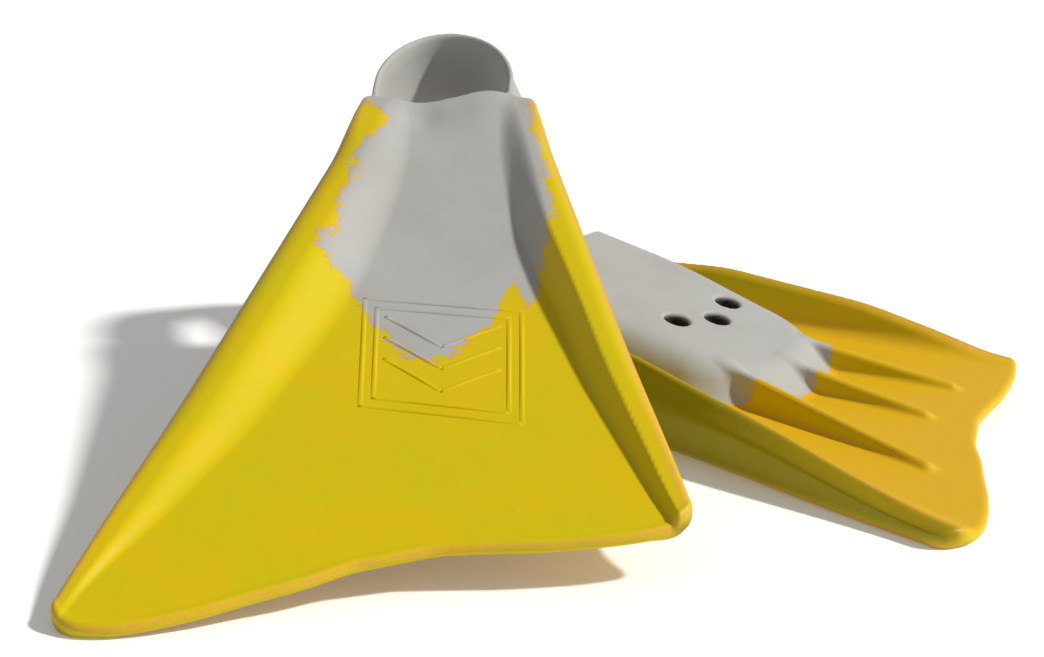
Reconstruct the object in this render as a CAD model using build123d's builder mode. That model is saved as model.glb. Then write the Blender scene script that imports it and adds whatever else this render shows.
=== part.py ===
from build123d import *
import math
import os

# A pair of bodyboard swim fins, lying as they are put down together: the right fin upside down
# on its rails, the left fin leaning back on it with its long blade corner on the ground.
# Millimetres and degrees.
#
# Each fin is modelled in a fin frame: X towards its long rail, Y towards the blade tip, Z towards
# the instep. Z is 0 on the rails' top crests, Y is 0 at the short blade corner.

# ---- Plan of one fin ----
BLADE_HALF = 110.0          # half width across the two blade corners
HEEL_HALF = 39.5            # half width at the heel end of the rails
LONG_TIP_Y = 52.0           # the long corner stands this far ahead of the short one
RAIL_HEEL_Y = -280.0        # heel end of the rails and of the instep
RAIL_TIP_INSET = 6.0        # the blade wraps round the rails' tips by this much
TIP_EDGE_INSET = 2.0        # the blade's corners stay this far inside the rails' outer line

# ---- Blade and top surface ----
WEB_THICKNESS = 5.0
TOP_AT_TIP = -3.0           # height of the blade's top at TOP_REF_Y
TOP_REF_Y = 15.0
TOP_SLOPE = 0.061           # the top sinks this much per millimetre towards the foot
TOP_LOW_Y = -150.0          # lowest point of the top, in front of the instep's rise
TOP_AT_HEEL = -1.5
WEB_REAR_Y = -185.0

# ---- Foot pocket ----
SOLE_AT_ZERO = -8.0         # height of the sole's underside, carried on to Y = 0
SOLE_SLOPE = 0.268          # the sole drops this much per millimetre towards the heel
SOLE_THICKNESS = 7.3
SOLE_HEEL_Y = -197.0
SOLE_EDGE_CHAMFER = 7.0
TOE_CENTRE_Y = -100.0
TOE_HALF = 47.0
TOE_REACH = 42.0
POCKET_HALF = 52.0
POCKET_WIDE_Y = -150.0
SOLE_HEEL_HALF = 46.0
POCKET_HEEL_HALF = 38.0
WALL_STEP_Y = -215.0        # behind the sole the side walls end higher up
WALL_STEP_DEPTH = 42.0
WALL_HEEL_DEPTH = 36.0      # depth of the side walls at the heel end
UPPER_SKIN = 4.5
CAVITY_TOE_Y = -125.0
CAVITY_TOE_HALF = 39.0
CAVITY_TOE_REACH = 33.0
CAVITY_HALF = 41.0
CAVITY_WIDE_Y = -183.0
CAVITY_HEEL_HALF = 32.0
CUT_DEPTH = 120.0           # deeper than any part of a fin

# ---- Heel strap ----
STRAP_CENTRE_Y = -305.0
STRAP_REACH = 46.0
STRAP_THICKNESS = 4.0
STRAP_TOP = -1.0
STRAP_DEPTH = 46.0

# ---- Drain holes: where their axes leave the sole's underside ----
DRAIN_RADIUS = 6.0
DRAIN_POINTS = {"long_side": (16.0, -118.0), "middle": (-4.0, -108.0), "short_side": (-26.0, -114.5)}

# ---- Ribs under the blade: start X, start Y, end X, end Y ----
RIB_WIDTH = 6.5
RIB_START_DEPTH = 11.0      # how far a rib stands below the blade at the toe
RIB_END_DEPTH = 1.0
RIBS = {
    "short_side_rib": (-30.0, -72.0, -48.0, -5.0),
    "centre_rib": (1.0, -68.0, -5.0, 0.0),
    "long_side_rib": (33.0, -82.0, 51.0, 24.0),
}

# ---- Maker's panel on the instep side, a raised border with plain chevrons ----
PANEL_CORNERS = ((25.0, -140.0), (-42.0, -133.0), (-46.0, -57.0), (18.0, -66.0))
PANEL_LINE = 2.0
PANEL_RISE = 0.8
PANEL_CHEVRONS = 3

# ---- Flex line of the blade ----
FLEX_Y = -40.0
FLEX_Z = -11.0
FLEX_RADIUS = 14.6
FLEX_GAP = 0.35

# ---- How the two fins lie ----
RIGHT_PLACE = (177.8, 762.4, 0.0)
RIGHT_HEADING = -124.7
LEFT_PLACE = (-48.9, 617.2, 26.7)
LEFT_HEADING = -3.1
LEFT_TILT = 21.8
LEFT_ROLL = 0.3
ROW_SHIFT = (-39.9, -771.9, 0.0)


def top_z(y):
    """Height of the fin's top surface on its centreline."""
    if y >= TOP_LOW_Y:
        return TOP_AT_TIP - TOP_SLOPE * (TOP_REF_Y - y)
    low = top_z(TOP_LOW_Y)
    share = (TOP_LOW_Y - y) / (TOP_LOW_Y - RAIL_HEEL_Y)
    return low + (TOP_AT_HEEL - low) * share


def sole_z(y):
    """Height of the sole's underside."""
    return SOLE_AT_ZERO + SOLE_SLOPE * y


def side_prism(points):
    """A solid as wide as the fin, from its outline of (y, z) points seen from the side."""
    with BuildPart() as prism:
        with BuildSketch(Plane.YZ):
            with BuildLine():
                Polyline(*points, close=True)
            make_face()
        extrude(amount=BLADE_HALF * 2, both=True)
    return prism.part


# ---- Rails ----

# Along a rail from tip (0) to heel (1): depth, width of the inner slope, inset of the top
# crest's two edges, inset of the bottom crest's two edges, inset where the blade's underside meets.
RAIL_STATIONS = (
    (0.0, 8.5, 10.0, 3.0, 6.0, 2.0, 8.0, 13.0),
    (0.5, 38.5, 15.0, 3.0, 6.0, 5.5, 12.0, 15.0),
    (0.62, 40.0, 14.0, 3.0, 6.0, 5.5, 11.0, 14.0),
    (1.0, 27.0, 1.5, 1.5, 3.0, 2.0, 4.5, 4.5),
)
RAIL_SHOULDER = 6.0         # the outer face is widest this far below the crest


def rail(side):
    """The yellow edge member: side is 1 for the long rail and -1 for the short one."""
    corner_y = LONG_TIP_Y if side > 0 else 0.0
    tip_y = corner_y - RAIL_TIP_INSET
    taper = (BLADE_HALF - HEEL_HALF) / (corner_y - RAIL_HEEL_Y)
    with BuildPart() as body:
        for share, depth, slope, crest_out, crest_in, foot_out, foot_in, under_in in RAIL_STATIONS:
            y = tip_y + (RAIL_HEEL_Y - tip_y) * share
            half = BLADE_HALF - taper * (corner_y - y)
            shoulder = min(RAIL_SHOULDER, depth / 2)
            section = (
                (half, -shoulder),
                (half - crest_out, 0),
                (half - crest_in, 0),
                (half - crest_in - slope, top_z(y)),
                (half - under_in, top_z(y) - WEB_THICKNESS),
                (half - foot_in, -depth),
                (half - foot_out, -depth),
            )
            with BuildSketch(Plane.XZ.offset(-y)):
                with BuildLine():
                    Polyline(*[(side * x, z) for x, z in section], close=True)
                make_face()
        loft(ruled=True)
    return body.part


# ---- Blade ----

def blade_plate():
    """The thin web between the rails, from the trailing edge back beside the foot pocket."""
    edge = (
        (BLADE_HALF - TIP_EDGE_INSET, 45.0),
        (105.5, 53.0),
        (97.0, 57.5),
        (84.0, 59.0),
        (61.0, 53.5),
        (26.0, 37.0),
        (-9.0, 21.5),
        (-47.0, 14.5),
        (-85.0, 9.0),
        (-102.0, 4.5),
        (-BLADE_HALF + TIP_EDGE_INSET, -3.0),
    )
    heel_half = HEEL_HALF + 5.0
    with BuildPart() as plate:
        with BuildSketch(Plane.XY.offset(-CUT_DEPTH)):
            with BuildLine():
                Spline(*edge)
                Polyline(edge[-1], (-heel_half, WEB_REAR_Y), (heel_half, WEB_REAR_Y), edge[0])
            make_face()
        extrude(amount=2 * CUT_DEPTH)
        reach = LONG_TIP_Y + 20
        tops = [(y, top_z(y)) for y in (reach, TOP_LOW_Y, WEB_REAR_Y - 1)]
        lows = [(y, z - WEB_THICKNESS) for y, z in reversed(tops)]
        add(side_prism(tops + lows), mode=Mode.INTERSECT)
    return plate.part


def rib(start_x, start_y, end_x, end_y):
    """A stiffening rib under the blade, deepest at the toe and fading out towards the edge."""
    length = math.hypot(end_x - start_x, end_y - start_y)
    start_low = top_z(start_y) - WEB_THICKNESS
    end_low = top_z(end_y) - WEB_THICKNESS
    bury = WEB_THICKNESS / 2
    along = Vector(end_x - start_x, end_y - start_y, 0).normalized()
    side = Plane(origin=(start_x, start_y, 0), x_dir=along, z_dir=along.cross(Vector(0, 0, 1)))
    with BuildPart() as body:
        with BuildSketch(side):
            with BuildLine():
                Polyline(
                    (0, start_low + bury),
                    (length, end_low + bury),
                    (length, end_low - RIB_END_DEPTH),
                    (0, start_low - RIB_START_DEPTH),
                    close=True,
                )
            make_face()
        extrude(amount=RIB_WIDTH / 2, both=True)
    return body.part


# ---- Foot pocket ----

def pocket_block():
    """The outer shape of the foot pocket, before it is hollowed."""
    with BuildPart() as block:
        with BuildSketch(Plane.XY.offset(-CUT_DEPTH)):
            with BuildLine():
                EllipticalCenterArc((0, TOE_CENTRE_Y), TOE_HALF, TOE_REACH, 0, arc_size=180)
                Polyline(
                    (-TOE_HALF, TOE_CENTRE_Y),
                    (-POCKET_HALF, POCKET_WIDE_Y),
                    (-SOLE_HEEL_HALF, SOLE_HEEL_Y),
                    (-POCKET_HEEL_HALF, RAIL_HEEL_Y),
                    (POCKET_HEEL_HALF, RAIL_HEEL_Y),
                    (SOLE_HEEL_HALF, SOLE_HEEL_Y),
                    (POCKET_HALF, POCKET_WIDE_Y),
                    (TOE_HALF, TOE_CENTRE_Y),
                )
            make_face()
        extrude(amount=2 * CUT_DEPTH)
        toe_y = TOE_CENTRE_Y + TOE_REACH + 1
        outline = (
            (toe_y, top_z(toe_y)),
            (TOP_LOW_Y, top_z(TOP_LOW_Y)),
            (RAIL_HEEL_Y, TOP_AT_HEEL),
            (RAIL_HEEL_Y, -WALL_HEEL_DEPTH),
            (WALL_STEP_Y, -WALL_STEP_DEPTH),
            (SOLE_HEEL_Y, sole_z(SOLE_HEEL_Y)),
            (toe_y, sole_z(toe_y)),
        )
        add(side_prism(outline), mode=Mode.INTERSECT)
        facing_down = block.faces().filter_by(lambda face: face.normal_at().Z < -0.5)
        underside = facing_down.sort_by(Axis.Y)[-1]
        rims = underside.edges().filter_by(lambda rim: rim.center().Y > SOLE_HEEL_Y + 1)
        chamfer(rims, length=SOLE_EDGE_CHAMFER)
    return block.part


def sole_slab():
    """The layer of the foot pocket that the sole plate takes."""
    rise = SOLE_THICKNESS * math.sqrt(1 + SOLE_SLOPE**2)
    near = TOE_CENTRE_Y + TOE_REACH + 5
    return side_prism(
        (
            (near, sole_z(near) + rise),
            (SOLE_HEEL_Y, sole_z(SOLE_HEEL_Y) + rise),
            (SOLE_HEEL_Y, -CUT_DEPTH),
            (near, -CUT_DEPTH),
        )
    )


def foot_cavity():
    """The space for the foot, open at the instep, under the heel and at the back."""
    beyond = RAIL_HEEL_Y - 20
    with BuildPart() as cavity:
        with BuildSketch(Plane.XY.offset(-CUT_DEPTH)):
            with BuildLine():
                EllipticalCenterArc(
                    (0, CAVITY_TOE_Y), CAVITY_TOE_HALF, CAVITY_TOE_REACH, 0, arc_size=180
                )
                Polyline(
                    (-CAVITY_TOE_HALF, CAVITY_TOE_Y),
                    (-CAVITY_HALF, CAVITY_WIDE_Y),
                    (-CAVITY_HEEL_HALF, RAIL_HEEL_Y),
                    (-CAVITY_HEEL_HALF, beyond),
                    (CAVITY_HEEL_HALF, beyond),
                    (CAVITY_HEEL_HALF, RAIL_HEEL_Y),
                    (CAVITY_HALF, CAVITY_WIDE_Y),
                    (CAVITY_TOE_HALF, CAVITY_TOE_Y),
                )
            make_face()
        extrude(amount=2 * CUT_DEPTH)
        toe_y = CAVITY_TOE_Y + CAVITY_TOE_REACH + 1
        ceiling = (
            (toe_y, top_z(toe_y) - UPPER_SKIN),
            (TOP_LOW_Y, top_z(TOP_LOW_Y) - UPPER_SKIN),
            (RAIL_HEEL_Y, TOP_AT_HEEL - UPPER_SKIN),
            (beyond, TOP_AT_HEEL - UPPER_SKIN),
            (beyond, -CUT_DEPTH),
            (toe_y, -CUT_DEPTH),
        )
        add(side_prism(ceiling), mode=Mode.INTERSECT)
    return cavity.part


def heel_strap():
    """The open band that goes round behind the heel."""
    inner_half = POCKET_HEEL_HALF - STRAP_THICKNESS
    with BuildPart() as strap:
        with BuildSketch(Plane.XY.offset(-CUT_DEPTH)):
            with BuildLine():
                EllipticalCenterArc(
                    (0, STRAP_CENTRE_Y), POCKET_HEEL_HALF, STRAP_REACH, 180, arc_size=180
                )
                Polyline(
                    (POCKET_HEEL_HALF, STRAP_CENTRE_Y),
                    (POCKET_HEEL_HALF, RAIL_HEEL_Y),
                    (inner_half, RAIL_HEEL_Y),
                    (inner_half, STRAP_CENTRE_Y),
                )
                EllipticalCenterArc(
                    (0, STRAP_CENTRE_Y),
                    inner_half,
                    STRAP_REACH - STRAP_THICKNESS,
                    180,
                    arc_size=180,
                )
                Polyline(
                    (-inner_half, STRAP_CENTRE_Y),
                    (-inner_half, RAIL_HEEL_Y),
                    (-POCKET_HEEL_HALF, RAIL_HEEL_Y),
                    (-POCKET_HEEL_HALF, STRAP_CENTRE_Y),
                )
            make_face()
        extrude(amount=2 * CUT_DEPTH)
        back = STRAP_CENTRE_Y - STRAP_REACH - 1
        outline = (
            (RAIL_HEEL_Y, TOP_AT_HEEL),
            (back, STRAP_TOP),
            (back, -STRAP_DEPTH),
            (RAIL_HEEL_Y, -WALL_HEEL_DEPTH),
        )
        add(side_prism(outline), mode=Mode.INTERSECT)
    return strap.part


def drain_pins():
    """The three cylinders that the drain holes take out, square to the sole."""
    lean = Vector(0, -SOLE_SLOPE, 1).normalized()
    with BuildPart() as pins:
        for x, y in DRAIN_POINTS.values():
            start = Vector(x, y, sole_z(y)) - lean * SOLE_THICKNESS
            with BuildSketch(Plane(origin=start, x_dir=(1, 0, 0), z_dir=lean)):
                Circle(DRAIN_RADIUS)
            extrude(amount=3 * SOLE_THICKNESS)
    return pins.part


def panel_point(across, along):
    """A point of the panel, from its shares across the fin and from heel end to toe end."""
    (ax, ay), (bx, by), (cx, cy), (dx, dy) = PANEL_CORNERS
    heel = (ax + (bx - ax) * across, ay + (by - ay) * across)
    toe = (dx + (cx - dx) * across, dy + (cy - dy) * across)
    return tuple(h + (t - h) * along for h, t in zip(heel, toe))


def maker_panel():
    """A raised four-sided border with plain chevrons in it."""
    slope = math.degrees(math.atan(TOP_SLOPE))
    face = Plane(origin=(0, 0, top_z(0))).rotated((slope, 0, 0))
    half_line = PANEL_LINE / 2
    with BuildPart() as panel:
        with BuildSketch(face):
            with BuildLine():
                Polyline(*PANEL_CORNERS, close=True)
            make_face()
            with BuildLine(mode=Mode.PRIVATE) as rim:
                Polyline(*PANEL_CORNERS, close=True)
            inner = make_face(rim.line, mode=Mode.PRIVATE)
            offset(inner, amount=-PANEL_LINE, mode=Mode.SUBTRACT)
            for number in range(PANEL_CHEVRONS):
                low = (number + 0.5) / (PANEL_CHEVRONS + 1)
                peak = (number + 1.5) / (PANEL_CHEVRONS + 1)
                start = Vector(*panel_point(0.01, low))
                tip = Vector(*panel_point(0.5, peak))
                end = Vector(*panel_point(0.99, low))
                lift = Vector(0, half_line)
                with BuildLine():
                    Polyline(
                        start - lift, tip - lift, end - lift, end + lift, tip + lift, start + lift,
                        close=True,
                    )
                make_face()
        extrude(amount=PANEL_RISE)
    return panel.part


# ---- The flex line cuts a fin into a foot pocket and a blade ----

def flex_roll(radius):
    """A cylinder round the flex line."""
    with BuildPart() as roll:
        with BuildSketch(Plane.YZ.offset(-2 * BLADE_HALF)):
            with Locations((FLEX_Y, FLEX_Z)):
                Circle(radius)
        extrude(amount=4 * BLADE_HALF)
    return roll.part


def blade_zone():
    """Everything ahead of the flex line, with the roll that turns in the foot pocket's hollow."""
    with BuildPart() as zone:
        add(
            side_prism(
                (
                    (FLEX_Y, CUT_DEPTH),
                    (FLEX_Y, -CUT_DEPTH),
                    (CUT_DEPTH, -CUT_DEPTH),
                    (CUT_DEPTH, CUT_DEPTH),
                )
            )
        )
        add(flex_roll(FLEX_RADIUS))
    return zone.part


def pocket_zone():
    """Everything behind the flex line, clear of the roll."""
    far = 2 * RAIL_HEEL_Y
    with BuildPart() as zone:
        add(
            side_prism(
                (
                    (FLEX_Y, CUT_DEPTH),
                    (FLEX_Y, -CUT_DEPTH),
                    (far, -CUT_DEPTH),
                    (far, CUT_DEPTH),
                )
            )
        )
        add(flex_roll(FLEX_RADIUS + FLEX_GAP), mode=Mode.SUBTRACT)
    return zone.part


def shaped(start, within=(), without=(), joined=()):
    """One piece: a shape, kept inside some solids and cut clear of others."""
    with BuildPart() as piece:
        add(start)
        for shape in joined:
            add(shape)
        for shape in within:
            add(shape, mode=Mode.INTERSECT)
        for shape in without:
            add(shape, mode=Mode.SUBTRACT)
    return piece.part


def fin_pieces():
    """All pieces of one fin in the fin frame, by name."""
    ahead = blade_zone()
    behind = pocket_zone()
    long_rail = rail(1)
    short_rail = rail(-1)
    rails = (long_rail, short_rail)
    block = pocket_block()
    slab = sole_slab()
    plate = shaped(blade_plate(), without=rails)
    ribs = {name: rib(*ends) for name, ends in RIBS.items()}
    pieces = {
        "foot_upper": shaped(block, without=(slab, foot_cavity(), *rails)),
        "sole_plate": shaped(block, within=(slab,), without=(drain_pins(), *rails)),
        "heel_strap": heel_strap(),
        "long_rail": shaped(long_rail, within=(behind,)),
        "short_rail": shaped(short_rail, within=(behind,)),
        "blade_root": shaped(plate, joined=ribs.values(), within=(behind,), without=(block, *rails)),
        "blade": shaped(plate, within=(ahead,)),
        "long_rail_tip": shaped(long_rail, within=(ahead,)),
        "short_rail_tip": shaped(short_rail, within=(ahead,)),
        "maker_panel": maker_panel(),
    }
    for name, shape in ribs.items():
        pieces[name] = shaped(shape, within=(ahead,), without=(plate, *rails))
    return pieces


# ---- Both fins, placed ----

FIN = fin_pieces()
SHIFT = Pos(*ROW_SHIFT)
RIGHT_LIE = SHIFT * Pos(*RIGHT_PLACE) * Rot(0, 0, RIGHT_HEADING) * Rot(0, 180, 0)
LEFT_LIE = (
    SHIFT
    * Pos(*LEFT_PLACE)
    * Rot(0, 0, LEFT_HEADING)
    * Rot(LEFT_TILT, 0, 0)
    * Rot(0, LEFT_ROLL, 0)
    * Rot(0, 0, 180)
)

os.makedirs("parts", exist_ok=True)
for piece_name, shape in FIN.items():
    with BuildPart() as left_piece:
        add(LEFT_LIE * shape)
    left_piece.part.label = f"left_{piece_name}"
    export_step(left_piece.part, f"parts/left_{piece_name}.step")

    mirrored = mirror(shape, about=Plane.YZ)
    with BuildPart() as right_piece:
        add(RIGHT_LIE * mirrored)
    right_piece.part.label = f"right_{piece_name}"
    export_step(right_piece.part, f"parts/right_{piece_name}.step")
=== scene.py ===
import bpy
import math
import numpy as np
from mathutils import Euler, Matrix, Vector


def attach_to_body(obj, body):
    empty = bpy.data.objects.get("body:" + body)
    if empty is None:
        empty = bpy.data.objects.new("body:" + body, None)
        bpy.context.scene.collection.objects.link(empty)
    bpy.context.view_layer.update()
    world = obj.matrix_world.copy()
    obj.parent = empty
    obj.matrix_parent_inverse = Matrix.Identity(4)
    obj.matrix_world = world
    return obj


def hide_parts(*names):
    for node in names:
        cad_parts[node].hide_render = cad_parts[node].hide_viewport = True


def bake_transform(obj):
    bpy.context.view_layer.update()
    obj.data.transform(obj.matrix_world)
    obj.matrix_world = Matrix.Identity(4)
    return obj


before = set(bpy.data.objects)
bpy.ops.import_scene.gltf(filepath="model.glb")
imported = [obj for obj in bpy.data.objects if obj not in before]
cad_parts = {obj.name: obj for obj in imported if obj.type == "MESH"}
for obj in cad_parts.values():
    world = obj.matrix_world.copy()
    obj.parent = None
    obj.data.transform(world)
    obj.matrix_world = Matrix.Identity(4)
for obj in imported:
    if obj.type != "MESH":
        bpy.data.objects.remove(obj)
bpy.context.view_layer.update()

# A pair of bodyboard swim fins. Each fin is modelled once in its own fin frame, in millimetres:
# X towards the long rail, Y towards the blade tip, Z towards the instep. Z is 0 on the rails' top
# crests and Y is 0 at the short blade corner. S stands for -Y, the distance towards the heel.

MM = 0.001

# ---- Driving dimensions of the fin, as in the CAD model ----
BLADE_HALF = 110.0
HEEL_HALF = 39.5
LONG_TIP_Y = 52.0
HEEL_S = 280.0
WEB_THICKNESS = 5.0
SOLE_AT_ZERO = -8.0
SOLE_SLOPE = 0.268
SOLE_THICKNESS = 7.3
SOLE_HEEL_S = 197.0
STRAP_CENTRE_S = 301.0
STRAP_REACH = 49.0
STRAP_THICKNESS = 4.0
DRAIN_RADIUS = 6.0
DRAIN_POINTS = ((16.0, -118.0), (-4.0, -108.0), (-26.0, -114.5))
RIBS = {
    "short_side_rib": (-30.0, -72.0, -48.0, -5.0),
    "centre_rib": (1.0, -68.0, -5.0, 0.0),
    "long_side_rib": (33.0, -82.0, 51.0, 24.0),
}
FLEX_Y = -40.0

# The foot pocket's half width at distances from the short blade corner, and the half ellipse at its toe.
HULL_S = (100, 150, 197, 250, 280)
HULL_HALF = (47, 52.5, 46.5, 40, 37.5)
HULL_TOE_S = 100.0
HULL_TOE_REACH = 41.0

# The inside of the foot pocket, in the same terms, with its wall and ceiling.
CAVITY_S = (125, 183, 280, 300)
CAVITY_HALF = (39, 41, 33.2, 33)
CAVITY_TOE_S = 125.0
CAVITY_TOE_REACH = 33.0
INSTEP_SKIN = 4.5

# ---- How the two fins lie, in millimetres and degrees ----
SHARED_SHIFT = Vector((-39.9, -771.9, 0.0))
RIGHT_PLACE = Vector((177.8, 762.4, 0.0))
RIGHT_HEADING = -124.7
LEFT_PLACE = Vector((-48.9, 617.2, 26.7))
LEFT_HEADING = -3.1
LEFT_TILT = 21.8
LEFT_ROLL = 0.3

# ---- Mesh ----
CELL = 1.25
GRID_LOW = (-114.0, -355.0, -65.0)
GRID_HIGH = (116.0, 64.0, 4.0)
SHELL = 0.9
RELAX_ROUNDS = 2


def turn(axis, degrees):
    return Matrix.Rotation(math.radians(degrees), 4, axis)


def fin_matrix(side):
    """From the fin frame in millimetres to the shared frame in metres."""
    if side == "left":
        lie = (
            Matrix.Translation(LEFT_PLACE + SHARED_SHIFT)
            @ turn("Z", LEFT_HEADING)
            @ turn("X", LEFT_TILT)
            @ turn("Y", LEFT_ROLL)
            @ turn("Z", 180)
        )
    else:
        lie = (
            Matrix.Translation(RIGHT_PLACE + SHARED_SHIFT)
            @ turn("Z", RIGHT_HEADING)
            @ turn("Y", 180)
            @ Matrix.Scale(-1, 4, Vector((1, 0, 0)))
        )
    return Matrix.Scale(MM, 4) @ lie


# ---- Shape of one fin, as a signed distance that is negative inside ----

def step(low, high, value):
    """0 at low, 1 at high, with a smooth change between them."""
    share = np.clip((value - low) / (high - low), 0, 1)
    return share * share * (3 - 2 * share)


def soft_max(a, b, width):
    """The larger of two distances, with the crease between them rounded over a width."""
    overlap = np.maximum(width - np.abs(a - b), 0) / width
    return np.maximum(a, b) + overlap * overlap * width * 0.25


def soft_min(a, b, width):
    return -soft_max(-a, -b, width)


def along(s, places, values, blur=9.0):
    """A value that changes smoothly along the fin."""
    total = 0
    for shift in (-1.0, -0.5, 0.0, 0.5, 1.0):
        total = total + np.interp(s + shift * blur, places, values)
    return total / 5


def rail_line(x, y):
    """Inset from the nearer rail's outer line, share of that rail's length, and if it is the long one."""
    long_side = x > 0
    corner = np.where(long_side, LONG_TIP_Y, 0.0)
    length = corner + HEEL_S
    half = HEEL_HALF + (BLADE_HALF - HEEL_HALF) * (y + HEEL_S) / length
    inset = (half - np.abs(x)) * 0.975
    return inset, (corner - y) / length, long_side


# X and Y of the blade's trailing edge, rounded at both corners.
TRAILING_EDGE = (
    (-116, -16), (-113, -8), (-110, -3), (-105, 1.5), (-92, 6.5), (-77, 9.8), (-58, 13), (-38, 14.5),
    (-20, 16.2), (-6, 21), (9, 26), (26, 35.8), (42, 43), (58, 51), (74, 57.3), (87, 60.8),
    (98, 61), (105, 58.5), (110, 54), (113, 49), (116, 41),
)
EDGE_X = np.linspace(-116, 116, 465)
EDGE_BLUR = (-4, -2, 0, 2, 4)
EDGE_Y = sum(np.interp(EDGE_X + shift, *zip(*TRAILING_EDGE)) for shift in EDGE_BLUR) / len(EDGE_BLUR)
EDGE_SHARE = 1 / np.hypot(1, np.gradient(EDGE_Y, EDGE_X))


def beyond_edge(x, y):
    """Distance past the trailing edge, negative on the blade."""
    return (y - np.interp(x, EDGE_X, EDGE_Y)) * np.interp(x, EDGE_X, EDGE_SHARE)


def rail_depth(share, long_side):
    """How far each rail's lower crest lies below Z = 0, from the blade corner to the heel."""
    long_rail = along(share, (0, 0.03, 0.25, 0.5, 0.62, 1.0), (6.5, 8, 24.5, 40, 41, 28), 0.03)
    short_rail = along(share, (0, 0.03, 0.1, 0.25, 0.5, 0.62, 1.0), (6.5, 9, 18, 31, 43, 43, 28), 0.03)
    return np.where(long_side, long_rail, short_rail)


def web_top(s):
    """Height of the sunk middle of the instep side, from the blade up to the instep."""
    return -3.0 - 0.061 * (15 + s) + 0.00084 * np.maximum(s - 125, 0) ** 2


def sole_low(s):
    """Height of the sole's underside, a straight slope."""
    return SOLE_AT_ZERO - SOLE_SLOPE * s


def pocket_low(s):
    """Lower edge of the foot pocket: the sole, then the side walls behind it."""
    wall = along(s, (190, 222, 280, 355), (-50, -42, -37, -47), 8)
    return sole_low(s) + (wall - sole_low(s)) * step(196, 216, s)


def top_height(x, y):
    """The instep side: two rounded rails with a sunk web, rising to the instep."""
    s = -y
    inset, _, long_side = rail_line(x, y)
    long_s = (-52, -35, -5, 50, 120, 157, 210, 245, 280)
    short_s = (0, 10, 85, 130, 185, 210, 245, 280)
    crest = np.where(
        long_side,
        along(s, (-52, -5, 50, 120, 210, 245, 280), (3, 7, 11, 13, 13, 11, 8)),
        along(s, short_s, (3, 5, 9.5, 10.5, 12, 10, 8, 7.5)),
    )
    floor = np.where(
        long_side,
        along(s, long_s, (6, 8, 18, 31, 38, 39, 35.5, 31, 20)),
        along(s, short_s, (7, 9, 19, 20, 25, 25.5, 22, 15.5)),
    )
    lip = np.exp(-(((beyond_edge(x, y) + 2.8) / 1.5) ** 2)) * 0.4
    wave = 1.6 * np.exp(-(((x + 17) / 12) ** 2)) - 1.5 * np.exp(-(((x - 14) / 13) ** 2))
    dished = 1.5 * np.exp(-(((x - 12) / 9) ** 2) - ((s - 270) / 9) ** 2)
    middle = web_top(s) + wave * step(240, 283, s) - dished
    return middle * step(0, 1, (inset - crest) / (floor - crest)) + lip


def instep_edge(x):
    """Distance along the fin of the instep's edge, which runs in a shallow wave."""
    wave = 4.0 * np.exp(-(((x + 20) / 15) ** 2)) - 1.0 * np.exp(-(((x - 16) / 12) ** 2))
    return 284.0 + wave


def pocket_side(x, s, toe_s, toe_reach, places, halves):
    """Distance outside an outline that ends in half an ellipse at the toe."""
    half = along(np.maximum(s, toe_s), places, halves, 12)
    ahead = np.maximum(toe_s - s, 0) / toe_reach
    return (np.sqrt((x / half) ** 2 + ahead**2) - 1) * half


def hull_side(x, s):
    """Distance outside the foot pocket's outer wall in plan."""
    return pocket_side(x, s, HULL_TOE_S, HULL_TOE_REACH, HULL_S, HULL_HALF)


def heel_loop(x, s, z, inset):
    """Distance outside the heel strap's outline. Its top rim is narrower and sits off centre."""
    low = step(-2, -34, z)
    off = x - 4.5 * (1 - low)
    half = 34.0 + 3.5 * low - inset
    reach = STRAP_REACH + 4.0 * low - inset
    back = np.sqrt((off / half) ** 2 + ((s - STRAP_CENTRE_S) / reach) ** 2)
    return np.where(s > STRAP_CENTRE_S, (back - 1) * half, np.abs(off) - half)


def cavity(x, y, z):
    """Distance outside the room for the foot: pocket, heel opening and the gap behind the sole."""
    s = -y
    side = pocket_side(x, s, CAVITY_TOE_S, CAVITY_TOE_REACH, CAVITY_S, CAVITY_HALF)
    loop = heel_loop(x, s, z, STRAP_THICKNESS - 1.2 * step(-10, 0, z))
    side = side + (loop - side) * step(258, 284, s)
    ceiling = z - (web_top(s) - INSTEP_SKIN - 2.0 * step(235, 258, s))
    edge_s = instep_edge(x)
    ceiling = np.where(s < edge_s - INSTEP_SKIN, ceiling, np.minimum(ceiling, edge_s - s))
    sole = sole_low(s) + SOLE_THICKNESS * 1.035
    sole = sole + (-120 - sole) * step(SOLE_HEEL_S - 4, SOLE_HEEL_S + 12, s)
    return soft_max(soft_max(side, ceiling, 7.0), sole - z, 8.0)


def rib_distance(x, y, z, ends):
    """Distance outside one rib, which falls from the sole's toe to the web."""
    start_x, start_y, end_x, end_y = ends
    length = math.hypot(end_x - start_x, end_y - start_y)
    run = ((end_x - start_x) / length, (end_y - start_y) / length)
    on = (x - start_x) * run[0] + (y - start_y) * run[1]
    off = np.abs((x - start_x) * run[1] - (y - start_y) * run[0])
    start_low = float(sole_low(-start_y)) + 0.8
    end_low = float(web_top(-end_y)) - WEB_THICKNESS - 2.6
    low = start_low + (end_low - start_low) * on / length
    shape = soft_max(off - 2.3 - 0.1 * (z - low), low - z, 3.0)
    shape = soft_max(shape, on - length, 4.0)
    return soft_max(shape, -on - 4.0, 3.0)


def drain_place(x, y, z, hole_x, hole_y):
    """Distance from a drain hole's axis, and height above the sole's underside."""
    drop = z - sole_low(-hole_y)
    slope = math.hypot(1, SOLE_SLOPE)
    up = (drop - SOLE_SLOPE * (y - hole_y)) / slope
    across = ((y - hole_y) + SOLE_SLOPE * drop) / slope
    return np.hypot(x - hole_x, across), up


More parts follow.
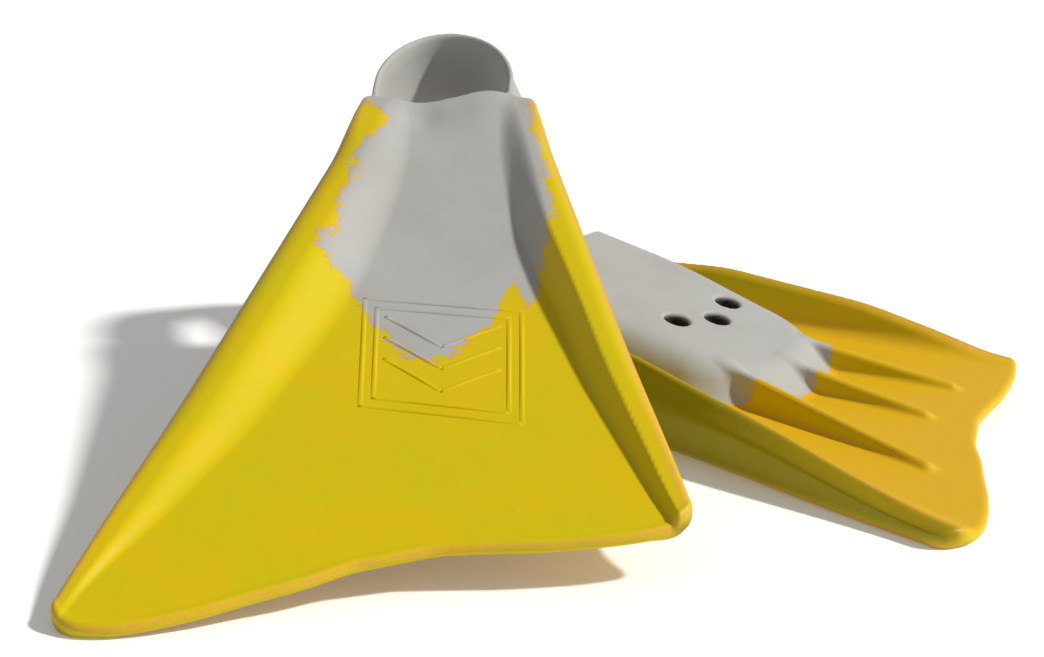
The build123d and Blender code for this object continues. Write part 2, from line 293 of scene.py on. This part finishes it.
def fin_distance(x, y, z):
    """Distance outside the whole fin: web and rails, pocket, ribs, strap, then what is cut away."""
    s = -y
    inset, share, long_side = rail_line(x, y)
    depth = rail_depth(share, long_side)
    web = web_top(s) - WEB_THICKNESS - z
    square = 6 + 13 * step(0, 0.35, share)
    lean = 5.5 * step(0, 1, (-z - square) / np.maximum(depth - square, 4))
    swell = np.where(long_side, 1.5 + 2.0 * step(0.05, 0.4, share), 2.4)
    outer = lean - inset - swell
    slim = along(share, (0, 0.15, 0.4, 0.8, 1.0), (9.5, 9.0, 7.5, 8.0, 5.5), 0.05)
    inner = inset - slim - 0.13 * (z + depth)
    rail = soft_max(-depth - z, inner, 5.0)
    body = soft_min(web, rail, 9.0)
    lift = z - pocket_low(s)
    hull = hull_side(x, s)
    hull = hull - 0.10 * np.clip(lift, 0, 30)
    hull = soft_max(hull, -lift * 0.966, 15.0 - 11.0 * step(203, 240, s))
    body = soft_min(body, hull, 10.0)
    for ends in RIBS.values():
        body = soft_min(body, rib_distance(x, y, z, ends), 3.5)
    rounding = np.where(long_side, 10.0, 6.0) * step(0.06, 0.4, share) * step(1.0, 0.85, share)
    rounding = 3.2 + rounding * step(-0.7, -0.3, z / depth)
    top = (z - top_height(x, y)) * 0.94
    body = soft_max(body, top, 2.5)
    body = soft_max(body, outer, rounding)
    body = soft_max(body, beyond_edge(x, y), 3.2)
    body = soft_max(body, s - instep_edge(x) - 0.5, 3.0)
    strap_top = -0.4 - 1.4 * step(290, 348, s)
    behind = step(280, 294, s)
    strap = heel_loop(x, s, z, 0.0)
    strap = soft_max(strap, (top + 2.5) * (1 - behind) + (z - strap_top) * behind, 2.2)
    strap = soft_max(strap, pocket_low(s) - z, 3.0)
    strap = np.maximum(strap, 277 - s)
    body = soft_min(body, strap, 4.0)
    body = soft_max(body, -cavity(x, y, z), 2.6)
    for hole_x, hole_y in DRAIN_POINTS:
        radial, up = drain_place(x, y, z, hole_x, hole_y)
        body = soft_max(body, -np.maximum(radial - DRAIN_RADIUS, up - 12), 2.2)
    return body


# ---- Surface of the fin ----

def surface_mesh(distance, low, high, cell):
    """Quads on the zero surface of a signed distance, by naive surface nets."""
    axes = [np.arange(a, b + cell, cell, dtype=np.float32) for a, b in zip(low, high)]
    grid = np.meshgrid(*axes, indexing="ij")
    field = distance(*grid).astype(np.float32)
    inside = field < 0
    shape = np.array(field.shape)
    cells = shape - 1
    total = np.zeros(tuple(cells) + (3,), np.float32)
    count = np.zeros(tuple(cells), np.float32)
    corners = [(a, b, c) for a in (0, 1) for b in (0, 1) for c in (0, 1)]

    def part(array, corner):
        return array[tuple(slice(k, k + n) for k, n in zip(corner, cells))]

    for first in corners:
        for axis in range(3):
            if first[axis]:
                continue
            second = list(first)
            second[axis] = 1
            f0, f1 = part(field, first), part(field, second)
            crossing = part(inside, first) != part(inside, second)
            share = np.where(crossing, f0 / np.where(crossing, f0 - f1, 1), 0)
            for k in range(3):
                place = first[k] + (share if k == axis else 0)
                total[..., k] += np.where(crossing, place, 0)
            count += crossing
    used = count > 0
    index = np.full(tuple(cells), -1, np.int64)
    index[used] = np.arange(used.sum())
    where = np.argwhere(used)
    points = (where + total[used] / count[used][:, None]) * cell + np.array(low)
    faces = []
    for axis in range(3):
        one, two = [k for k in range(3) if k != axis]
        first = [slice(1, n) for n in cells]
        first[axis] = slice(0, cells[axis])
        second = list(first)
        second[axis] = slice(1, shape[axis])
        here, there = inside[tuple(first)], inside[tuple(second)]
        edges = np.argwhere(here != there)
        edges[:, one] += 1
        edges[:, two] += 1
        rising = here[tuple((edges - np.eye(3, dtype=int)[one] - np.eye(3, dtype=int)[two]).T)]
        ring = []
        for back_one, back_two in ((1, 1), (0, 1), (0, 0), (1, 0)):
            corner = edges.copy()
            corner[:, one] -= back_one
            corner[:, two] -= back_two
            ring.append(index[tuple(corner.T)])
        quads = np.stack(ring, 1)
        flip = rising if axis == 1 else ~rising
        quads[flip] = quads[flip][:, ::-1]
        faces.append(quads)
    return points, np.concatenate(faces)


def gradient(distance, points, reach=0.25):
    """Slope of a distance function at each point."""
    result = np.zeros_like(points)
    for axis in range(3):
        ahead, behind = points.copy(), points.copy()
        ahead[:, axis] += reach
        behind[:, axis] -= reach
        result[:, axis] = distance(*ahead.T) - distance(*behind.T)
    return result / (2 * reach)


def settle(distance, points, cell):
    """Moves points onto the zero surface."""
    slope = gradient(distance, points)
    size = np.maximum((slope**2).sum(1), 0.05)
    move = slope * (distance(*points.T) / size)[:, None]
    length = np.linalg.norm(move, axis=1, keepdims=True)
    return points - move * np.minimum(1, 0.7 * cell / np.maximum(length, 1e-9))


def relax(points, faces, share=0.5):
    """Evens out the spacing of points."""
    total = np.zeros_like(points)
    count = np.zeros(len(points))
    for first, second in ((0, 1), (1, 2), (2, 3), (3, 0)):
        for a, b in ((first, second), (second, first)):
            np.add.at(total, faces[:, a], points[faces[:, b]])
            np.add.at(count, faces[:, a], 1)
    return points + share * (total / np.maximum(count, 1)[:, None] - points)


def fin_surface():
    """Points, quads and unit normals of one whole fin."""
    points, faces = surface_mesh(fin_distance, GRID_LOW, GRID_HIGH, CELL)
    for _ in range(RELAX_ROUNDS):
        points = settle(fin_distance, relax(points, faces), CELL)
    points = settle(fin_distance, points, CELL)
    normals = gradient(fin_distance, points)
    normals /= np.maximum(np.linalg.norm(normals, axis=1, keepdims=True), 1e-9)
    return points, faces, normals


# ---- Which piece each face belongs to ----

LONG_RAIL_TOP_WIDTH = 24.0
RAIL_WIDTH = 17.0
RAIL_END_WIDTH = 9.0
RAIL_NARROWS_S = 200.0
INSTEP_PIECE_S = 88.0

def face_pieces(points, faces, normals):
    """Name of the moulding region that each face belongs to. Later rules win."""
    centre = points[faces].mean(1)
    facing = normals[faces].mean(1)[:, 2]
    x, y, z = centre.T
    s = -y
    inset, _, long_side = rail_line(x, y)
    in_cavity = np.abs(cavity(x, y, z)) < 0.9
    top = top_height(x, y)
    on_top = (z > top - 1.6) & ~in_cavity
    names = np.full(len(faces), "blade_root", dtype=object)
    names[s < -FLEX_Y] = "blade"
    hull = hull_side(x, s)
    below = z < web_top(s) - WEB_THICKNESS - 1.5
    names[(hull < 6) & below & ~on_top] = "foot_upper"
    width = np.where(long_side & on_top, LONG_RAIL_TOP_WIDTH, RAIL_WIDTH)
    width = RAIL_END_WIDTH + (width - RAIL_END_WIDTH) * step(-40, 60, s)
    beside_heel = np.where(on_top, RAIL_END_WIDTH, np.minimum(width, RAIL_END_WIDTH))
    width = np.where(s > RAIL_NARROWS_S, beside_heel, width)
    rail = (inset < width) & ~in_cavity & ~((hull < 2) & below & (s > 190))
    names[on_top & (s > INSTEP_PIECE_S) & (inset >= width)] = "foot_upper"
    names[rail & ~long_side] = "short_rail"
    names[rail & long_side] = "long_rail"
    names[rail & ~long_side & (s < -FLEX_Y)] = "short_rail_tip"
    names[rail & long_side & (s < -FLEX_Y)] = "long_rail_tip"
    for name, ends in RIBS.items():
        near = rib_distance(x, y, z, ends) < 0.7
        names[near & below & (z > pocket_low(s) + 1.0) & (facing < 0.5)] = name
    names[in_cavity] = "foot_upper"
    under = (z < sole_low(s) + SOLE_THICKNESS + 1) & (s > 56) & (s < SOLE_HEEL_S + 14) & (hull < 0)
    names[under & (facing < -0.35) & (hull < -1)] = "sole_plate"
    names[under & in_cavity & (facing > 0.5)] = "sole_plate"
    for hole_x, hole_y in DRAIN_POINTS:
        close = np.hypot(x - hole_x, y - hole_y) < DRAIN_RADIUS + 3
        names[close & (z < sole_low(s) + SOLE_THICKNESS + 3)] = "sole_plate"
    names[s > HEEL_S] = "heel_strap"
    return names


def shell_piece(points, faces, normals, thickness):
    """A closed skin: the given faces, the same faces sunk under them, and a wall at their rim."""
    used, compact = np.unique(faces, return_inverse=True)
    compact = compact.reshape(faces.shape)
    outer = points[used]
    inner = outer - normals[used] * thickness
    count = len(used)
    edges = np.concatenate([compact[:, [k, (k + 1) % 4]] for k in range(4)])
    key = edges[:, 0] * count + edges[:, 1]
    other = edges[:, 1] * count + edges[:, 0]
    rim = edges[~np.isin(key, other)]
    wall = np.stack([rim[:, 1], rim[:, 0], rim[:, 0] + count, rim[:, 1] + count], 1)
    everything = np.concatenate([compact, compact[:, ::-1] + count, wall])
    all_normals = np.concatenate([normals[used], -normals[used]])
    return np.concatenate([outer, inner]), everything, all_normals


# ---- Colour: which rubber shows where, and painted shade ----

def grey_tone(points, normals):
    """Signed distance to the colour boundary in millimetres: positive is grey rubber."""
    x, y, z = points.T
    s = -y
    inset, _, long_side = rail_line(x, y)
    tip = along(
        x, (-60, -52, -47, -42, -38, -30, -16, -5, 8, 20, 33, 42, 50),
        (176, 172, 136, 136, 164, 124, 105, 95, 104, 122, 150, 158, 170), 2,
    )
    long_s = (120, 160, 195, 215, 232, 245, 262, 272, 281)
    short_s = (120, 150, 176, 190, 215, 245, 270, 281)
    yellow_width = np.where(
        long_side,
        along(s, long_s, (30, 18, 16, 14, 8, 10, 15, 7, 1), 3),
        along(s, short_s, (26, 25, 14, 8.5, 7, 4, 3.5, 2.5), 3),
    )
    margin = inset - yellow_width
    top_tone = np.minimum((s - tip) * 0.75, margin)
    top_tone = np.maximum(top_tone, (s - 279) * 1.2)
    hull = hull_side(x, s)
    under_tone = (5.0 + 5.0 * step(100, 62, s) - 0.05 * np.maximum(110 - s, 0) - hull * 1.2) * 1.5
    low_part = under_tone + (np.minimum(under_tone, -z - 14) - under_tone) * step(215, 245, s)
    under_tone = np.maximum(low_part, (s - 279) * 1.2)
    on_top = z > web_top(s) - 3.0
    on_top = on_top & ((normals[:, 2] > 0.0) | (z > -4))
    tone = np.where(on_top, top_tone, under_tone)
    inner = np.abs(cavity(x, y, z)) < 1.2
    return np.where(inner, 12.0, tone)


def edge_wear(points):
    """How much an edge is rubbed: 1 on the rails' crests, the trailing lip and the blade's corners."""
    x, y, z = points.T
    inset, share, long_side = rail_line(x, y)
    depth = rail_depth(share, long_side)
    outer = np.exp(-((inset / 1.5) ** 2)) * step(-5, -1, z)
    low_crest = np.exp(-(((z + depth) / 1.4) ** 2) - ((inset - 7.5) / 1.6) ** 2)
    below = z - top_height(x, y)
    edge = np.exp(-(((beyond_edge(x, y) + 0.8) / 0.9) ** 2)) * step(-2.2, -0.6, below)
    return np.clip(np.maximum(np.maximum(outer, low_crest), edge), 0, 1)


def painted_side_shade(points):
    """1 on the rails' outer faces, which are darkened to olive as painted shade."""
    x, y, z = points.T
    inset = rail_line(x, y)[0]
    return step(9, 3.5, inset) * step(-0.8, -6, z) * step(HEEL_S, HEEL_S - 12, -y)


def painted_hollow_shade(points):
    """How much painted shade a hollow gets: 0.55 inside the foot pocket, 1 in the drain holes, 0
    elsewhere.
    """
    x, y, z = points.T
    inner = np.abs(cavity(x, y, z)) < 1.2
    depth = 0.55 * inner * step(275, 235, -y) * step(0, 6, web_top(-y) - z)
    for hole_x, hole_y in DRAIN_POINTS:
        radial, up = drain_place(x, y, z, hole_x, hole_y)
        in_hole = step(DRAIN_RADIUS + 1.2, DRAIN_RADIUS + 0.4, radial) * step(0.8, 2.6, up)
        depth = np.maximum(depth, in_hole * (up < SOLE_THICKNESS + 3.7))
    return depth


# ---- Materials ----

class Nodes:
    """Short calls for building a material's node tree."""

    def __init__(self, name):
        self.material = bpy.data.materials.new(name)
        self.material.use_nodes = True
        self.tree = self.material.node_tree
        self.shader = self.tree.nodes["Principled BSDF"]

    def node(self, kind, **settings):
        made = self.tree.nodes.new(kind)
        for key, value in settings.items():
            setattr(made, key, value)
        return made

    def link(self, source, target):
        self.tree.links.new(source, target)

    def put(self, socket, value):
        if isinstance(value, bpy.types.NodeSocket):
            self.link(value, socket)
        else:
            socket.default_value = value

    def attribute(self, name, output="Fac"):
        return self.node("ShaderNodeAttribute", attribute_name=name).outputs[output]

    def math(self, operation, *values, clamp=False):
        made = self.node("ShaderNodeMath", operation=operation, use_clamp=clamp)
        for socket, value in zip(made.inputs, values):
            self.put(socket, value)
        return made.outputs[0]

    def noise(self, vector, scale, detail=4.0, roughness=0.55, stretch=None, shift=(0, 0, 0)):
        mapping = self.node("ShaderNodeMapping")
        self.put(mapping.inputs["Vector"], vector)
        mapping.inputs["Location"].default_value = shift
        if stretch:
            mapping.inputs["Scale"].default_value = stretch
        made = self.node("ShaderNodeTexNoise")
        self.put(made.inputs["Vector"], mapping.outputs[0])
        made.inputs["Scale"].default_value = scale
        made.inputs["Detail"].default_value = detail
        made.inputs["Roughness"].default_value = roughness
        return made.outputs["Fac"]

    def ramp(self, value, low, high, out_low=0.0, out_high=1.0):
        made = self.node("ShaderNodeMapRange", interpolation_type="SMOOTHSTEP")
        for socket, number in zip(made.inputs, (value, low, high, out_low, out_high)):
            self.put(socket, number)
        return made.outputs[0]

    def mix(self, share, first, second):
        made = self.node("ShaderNodeMix", data_type="RGBA")
        self.put(made.inputs["Factor"], share)
        self.put(made.inputs["A"], first)
        self.put(made.inputs["B"], second)
        return made.outputs["Result"]


GREY = (0.425, 0.425, 0.405, 1)
GREY_WARM = (0.395, 0.39, 0.365, 1)
YELLOW = (0.66, 0.475, 0.0, 1)
YELLOW_LIME = (0.60, 0.49, 0.0, 1)
YELLOW_GOLD = (0.70, 0.40, 0.012, 1)
# Painted shade for the rails' outer faces.
SHADE_OLIVE = (0.22, 0.19, 0.0, 1)
FRINGE = (0.72, 0.30, 0.08, 1)
DUST = (0.60, 0.45, 0.30, 1)
# Painted shade for the inside of the foot pocket and the drain holes.
HOLLOW_SHADE_DARK = (0.06, 0.058, 0.05, 1)


def rubber(name, seed, roughness):
    """Two rubbers pressed together: a ragged boundary, rubbed edges, fine grain and dull patches, with
    painted shade on the rails' outer faces and in the hollows.
    """
    n = Nodes(name)
    place = n.attribute("fin_place", "Vector")
    tone = n.attribute("grey_tone")
    wear = n.attribute("edge_wear")
    under = n.attribute("underside")
    shift = (seed * 13.7, seed * 7.1, seed * 3.3)
    wide = n.noise(place, 0.055, 3.0, 0.6, shift=shift)
    torn = n.noise(place, 0.22, 6.0, 0.68, shift=shift)
    streak = n.noise(place, 0.3, 4.0, 0.62, stretch=(0.3, 1.6, 1.0), shift=shift)
    crumbs = n.noise(place, 1.1, 4.0, 0.7, shift=shift)
    ragged = 0.0
    for noise, reach in ((wide, 16.0), (torn, 11.0), (streak, 20.0), (crumbs, 2.5)):
        ragged = n.math("MULTIPLY_ADD", n.math("SUBTRACT", noise, 0.5), reach, ragged)
    calm = n.ramp(under, 0.0, 0.25, 1.0, 0.35)
    edge = n.math("MULTIPLY_ADD", ragged, calm, tone)
    grey_share = n.ramp(edge, -0.25, 0.25)
    fringe = n.math("MULTIPLY", n.ramp(edge, -1.1, -0.1), n.ramp(edge, 1.0, 0.1))

    broad = n.noise(place, 0.02, 4.0, 0.6, shift=shift)
    mottle = n.noise(place, 0.35, 5.0, 0.65, shift=shift)
    grey = n.mix(n.ramp(broad, 0.35, 0.7), GREY, GREY_WARM)
    yellow = n.mix(n.ramp(broad, 0.38, 0.62), YELLOW, YELLOW_LIME)
    gold = n.math("MULTIPLY", under, n.ramp(mottle, 0.2, 0.8, 0.75, 1.0))
    yellow = n.mix(gold, yellow, YELLOW_GOLD)
    # Painted shade: the rails' outer faces are darkened to olive.
    yellow = n.mix(n.math("MULTIPLY", n.attribute("painted_side_shade"), 0.75), yellow, SHADE_OLIVE)
    colour = n.mix(grey_share, yellow, grey)
    colour = n.mix(n.math("MULTIPLY", fringe, 0.75), colour, FRINGE)

    specks = n.noise(place, 0.8, 2.0, 0.5, shift=(seed + 31.0, 5.0, 9.0))
    patches = n.noise(place, 0.05, 2.0, 0.5, shift=(seed + 3.0, 15.0, 2.0))
    specks = n.math("MULTIPLY", n.ramp(specks, 0.70, 0.74), n.ramp(patches, 0.56, 0.64))
    colour = n.mix(n.math("MULTIPLY", specks, 0.55), colour, DUST)

    rub_noise = n.noise(place, 0.4, 5.0, 0.7, shift=shift)
    rub = n.math("MULTIPLY", wear, n.ramp(rub_noise, 0.3, 0.62))
    not_grey = n.math("SUBTRACT", 1.0, grey_share)
    rub = n.math("MULTIPLY", rub, n.math("MULTIPLY_ADD", not_grey, 0.75, 0.1))
    colour = n.mix(rub, colour, FRINGE)
    # Painted shade: the inside of the foot pocket and the drain holes are darkened.
    colour = n.mix(n.attribute("painted_hollow_shade"), colour, HOLLOW_SHADE_DARK)
    n.put(n.shader.inputs["Base Color"], colour)

    dull = n.ramp(mottle, 0.3, 0.75, roughness - 0.06, roughness + 0.10)
    dull = n.math("ADD", dull, n.math("MULTIPLY", grey_share, 0.08))
    n.put(n.shader.inputs["Roughness"], dull)
    n.shader.inputs["Specular IOR Level"].default_value = 0.2

    grain = n.noise(place, 2.2, 3.0, 0.6, shift=shift)
    lumps = n.noise(place, 0.12, 3.0, 0.5, shift=shift)
    height = n.math("MULTIPLY", grain, 0.05)
    height = n.math("MULTIPLY_ADD", lumps, 0.35, height)
    height = n.math("MULTIPLY_ADD", grey_share, 0.10, height)
    bump = n.node("ShaderNodeBump")
    bump.inputs["Strength"].default_value = 0.55
    bump.inputs["Distance"].default_value = MM
    n.put(bump.inputs["Height"], height)
    n.link(bump.outputs[0], n.shader.inputs["Normal"])
    return n.material


# ---- Making the pieces ----

BLENDED = ("blade", "blade_root", "long_rail", "short_rail", "long_rail_tip", "short_rail_tip",
           "short_side_rib", "centre_rib", "long_side_rib", "foot_upper", "sole_plate")
SLOTS = {"foot_upper": "grey_rubber", "sole_plate": "grey_rubber", "heel_strap": "grey_rubber"}


def slot_name(piece):
    if "rail" in piece:
        return "rail_rubber"
    return SLOTS.get(piece, "yellow_rubber")


def underside_share(normals):
    """1 where the surface faces away from the instep side, 0 where it faces it or sideways."""
    return np.clip(-normals[:, 2] * 1.4 - 0.2, 0, 1)


def make_object(name, points, faces, painted, matrix, mirrored, material, normals=None):
    """One smooth mesh object in the shared frame, with its painted values and shading normals."""
    if mirrored:
        faces = [face[::-1] for face in faces]
    mesh = bpy.data.meshes.new(name)
    turned = np.array(matrix.to_3x3()).T
    mesh.from_pydata((points @ turned + np.array(matrix.translation)).tolist(), [], faces)
    mesh.update()
    for key, values in painted.items():
        kind, field = ("FLOAT_VECTOR", "vector") if values.ndim == 2 else ("FLOAT", "value")
        layer = mesh.attributes.new(key, kind, "POINT")
        layer.data.foreach_set(field, values.astype(np.float32).ravel())
    mesh.polygons.foreach_set("use_smooth", np.ones(len(mesh.polygons), bool))
    if normals is not None:
        shading = normals @ turned
        shading /= np.maximum(np.linalg.norm(shading, axis=1, keepdims=True), 1e-9)
        mesh.normals_split_custom_set_from_vertices(shading.tolist())
    mesh.materials.append(material)
    made = bpy.data.objects.new(name, mesh)
    bpy.context.scene.collection.objects.link(made)
    return made


def attach(piece, side, name, node):
    """Rides on the foot pocket, or has its placing baked into its points."""
    if name in BLENDED:
        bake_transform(piece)
    else:
        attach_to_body(piece, f"{side}_pocket")
    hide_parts(node)


def make_fins():
    points, faces, normals = fin_surface()
    names = face_pieces(points, faces, normals)
    data = {
        "fin_place": points.copy(),
        "grey_tone": grey_tone(points, normals),
        "edge_wear": edge_wear(points),
        # Painted shade in the foot pocket and the drain holes.
        "painted_hollow_shade": painted_hollow_shade(points),
        # Painted shade on the rails' outer faces.
        "painted_side_shade": painted_side_shade(points),
        "underside": underside_share(normals),
    }
    for number, side in enumerate(("left", "right")):
        matrix = fin_matrix(side)
        materials = {
            "grey_rubber": rubber(f"{side} grey rubber", number + 1, 0.52),
            "yellow_rubber": rubber(f"{side} yellow rubber", number + 1, 0.42),
            "rail_rubber": rubber(f"{side} rail rubber", number + 1, 0.44),
        }
        for name in sorted(set(names)):
            chosen = faces[names == name]
            skin, skin_faces, skin_normals = shell_piece(points, chosen, normals, SHELL)
            used = np.unique(chosen)
            painted = {key: np.concatenate([values[used]] * 2) for key, values in data.items()}
            piece = make_object(
                f"{side}_{name}_skin", skin, skin_faces.tolist(), painted, matrix,
                side == "right", materials[slot_name(name)], skin_normals,
            )
            attach(piece, side, name, f"{side}_{name}")
        make_panel(side, matrix, materials["yellow_rubber"])


# ---- Maker's panel: raised lines that follow the instep side ----

PANEL_CORNERS = ((25.0, -140.0), (-42.0, -133.0), (-46.0, -57.0), (18.0, -66.0))
PANEL_BORDER = 0.08
PANEL_CHEVRONS = 3
LINE_HALF = 0.9
LINE_RISE = 0.6
# The bead's cross-section, as shares of its half width and of its rise.
BEAD_SECTION = (
    (-1.25, -1.2), (-1.25, -0.05), (-0.75, 0.6), (0.0, 1.0), (0.75, 0.6), (1.25, -0.05), (1.25, -1.2)
)


def panel_point(across, along_share):
    """Point of the plan at a share of the panel's width and height."""
    (ax, ay), (bx, by), (cx, cy), (dx, dy) = PANEL_CORNERS
    heel = (ax + (bx - ax) * across, ay + (by - ay) * across)
    toe = (dx + (cx - dx) * across, dy + (cy - dy) * across)
    return tuple(h + (t - h) * along_share for h, t in zip(heel, toe))


def panel_lines():
    """Two borders and a row of chevrons, each as a list of points of the plan."""
    lines = []
    for low, high in ((0, 1), (PANEL_BORDER, 1 - PANEL_BORDER)):
        ring = ((low, low), (high, low), (high, high), (low, high), (low, low))
        lines.append([panel_point(*place) for place in ring])
    for number in range(PANEL_CHEVRONS):
        low = 0.16 + 0.2 * number
        lines.append([panel_point(0.14, low), panel_point(0.5, low + 0.24), panel_point(0.86, low)])
    return lines


def raised_line(start, end):
    """A low half-round bead between two points of the plan, on the instep surface."""
    start, end = np.array(start), np.array(end)
    length = np.linalg.norm(end - start)
    run = (end - start) / length
    side = np.array((-run[1], run[0]))
    start, end = start - run * LINE_HALF * 0.7, end + run * LINE_HALF * 0.7
    steps = max(2, int(length / 2.0))
    points = []
    for k in range(steps + 1):
        middle = start + (end - start) * k / steps
        fade = min(1.0, 0.15 + 2.5 * min(k, steps - k) / steps)
        for across, up in BEAD_SECTION:
            plan = middle + side * across * LINE_HALF
            z = float(top_height(np.array([plan[0]]), np.array([plan[1]]))[0])
            points.append((plan[0], plan[1], z + (up * LINE_RISE * (fade if up > 0 else 1))))
    n = len(BEAD_SECTION)
    faces = []
    for k in range(steps):
        for j in range(n):
            a, b = k * n + j, k * n + (j + 1) % n
            faces.append((a, b, b + n, a + n))
    caps = [tuple(range(n))[::-1], tuple(range(steps * n, steps * n + n))]
    return points, faces, caps


def make_panel(side, matrix, material):
    """All the raised lines of one fin as one object."""
    points, faces = [], []
    for line in panel_lines():
        for start, end in zip(line, line[1:]):
            new_points, new_faces, caps = raised_line(start, end)
            base = len(points)
            points += new_points
            faces += [tuple(base + k for k in face) for face in new_faces + caps]
    points = np.array(points)
    up = np.tile((0.0, 0.0, 1.0), (len(points), 1))
    unpainted = ("edge_wear", "painted_hollow_shade", "painted_side_shade", "underside")
    painted = {"fin_place": points, "grey_tone": grey_tone(points, up)}
    painted.update({key: np.zeros(len(points)) for key in unpainted})
    piece = make_object(
        f"{side}_maker_panel_lines", points, faces, painted, matrix, side == "right", material
    )
    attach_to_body(piece, f"{side}_pocket")
    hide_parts(f"{side}_maker_panel")


# ---- Camera, floor and light: places in millimetres, floor in metres ----

CAMERA_PLACE = Vector((0.0, 0.0, 281.3))
CAMERA_PITCH = 0.293
CAMERA_FOCAL_PX = 1843.9
FRAME_WIDTH_PX = 1044
SENSOR_WIDTH = 36.0
FLOOR_HALF = 15.0
FLOOR_DULL = (0.92, 0.92, 0.915, 1)
FLOOR_BRIGHT = (0.95, 0.95, 0.945, 1)
SUN_DIRECTION = Vector((-0.74, 0.10, -0.68))


def make_camera():
    data = bpy.data.cameras.new("camera")
    data.sensor_width = SENSOR_WIDTH
    data.lens = CAMERA_FOCAL_PX / FRAME_WIDTH_PX * SENSOR_WIDTH
    data.clip_start = 0.01
    camera = bpy.data.objects.new("camera", data)
    camera.location = (CAMERA_PLACE + SHARED_SHIFT) * MM
    camera.rotation_euler = Euler((math.pi / 2 - CAMERA_PITCH, 0, 0))
    bpy.context.scene.collection.objects.link(camera)
    bpy.context.scene.camera = camera


def make_floor():
    mesh = bpy.data.meshes.new("floor")
    corners = [(x * FLOOR_HALF, y * FLOOR_HALF, 0) for x, y in ((-1, -1), (1, -1), (1, 1), (-1, 1))]
    mesh.from_pydata(corners, [], [(0, 1, 2, 3)])
    floor = bpy.data.objects.new("floor", mesh)
    n = Nodes("pale floor")
    geometry = n.node("ShaderNodeNewGeometry").outputs["Position"]
    cloud = n.noise(geometry, 3.0, 3.0, 0.5)
    n.put(n.shader.inputs["Base Color"], n.mix(cloud, FLOOR_DULL, FLOOR_BRIGHT))
    n.shader.inputs["Roughness"].default_value = 0.9
    n.shader.inputs["Emission Color"].default_value = (1, 1, 1, 1)
    n.shader.inputs["Emission Strength"].default_value = 0.12
    n.shader.inputs["Specular IOR Level"].default_value = 0.1
    mesh.materials.append(n.material)
    bpy.context.scene.collection.objects.link(floor)


def make_lights():
    bpy.context.scene.view_settings.view_transform = "Standard"
    world = bpy.data.worlds.new("studio")
    world.use_nodes = True
    background = world.node_tree.nodes["Background"]
    background.inputs["Color"].default_value = (1.0, 1.0, 1.0, 1)
    background.inputs["Strength"].default_value = 0.3
    bpy.context.scene.world = world
    sun = bpy.data.lights.new("key", "SUN")
    sun.energy = 3.4
    sun.angle = math.radians(5)
    sun.color = (1.0, 0.985, 0.955)
    light = bpy.data.objects.new("key", sun)
    light.rotation_mode = "QUATERNION"
    light.rotation_quaternion = SUN_DIRECTION.to_track_quat("-Z", "Y")
    bpy.context.scene.collection.objects.link(light)


make_camera()
make_floor()
make_lights()
make_fins()
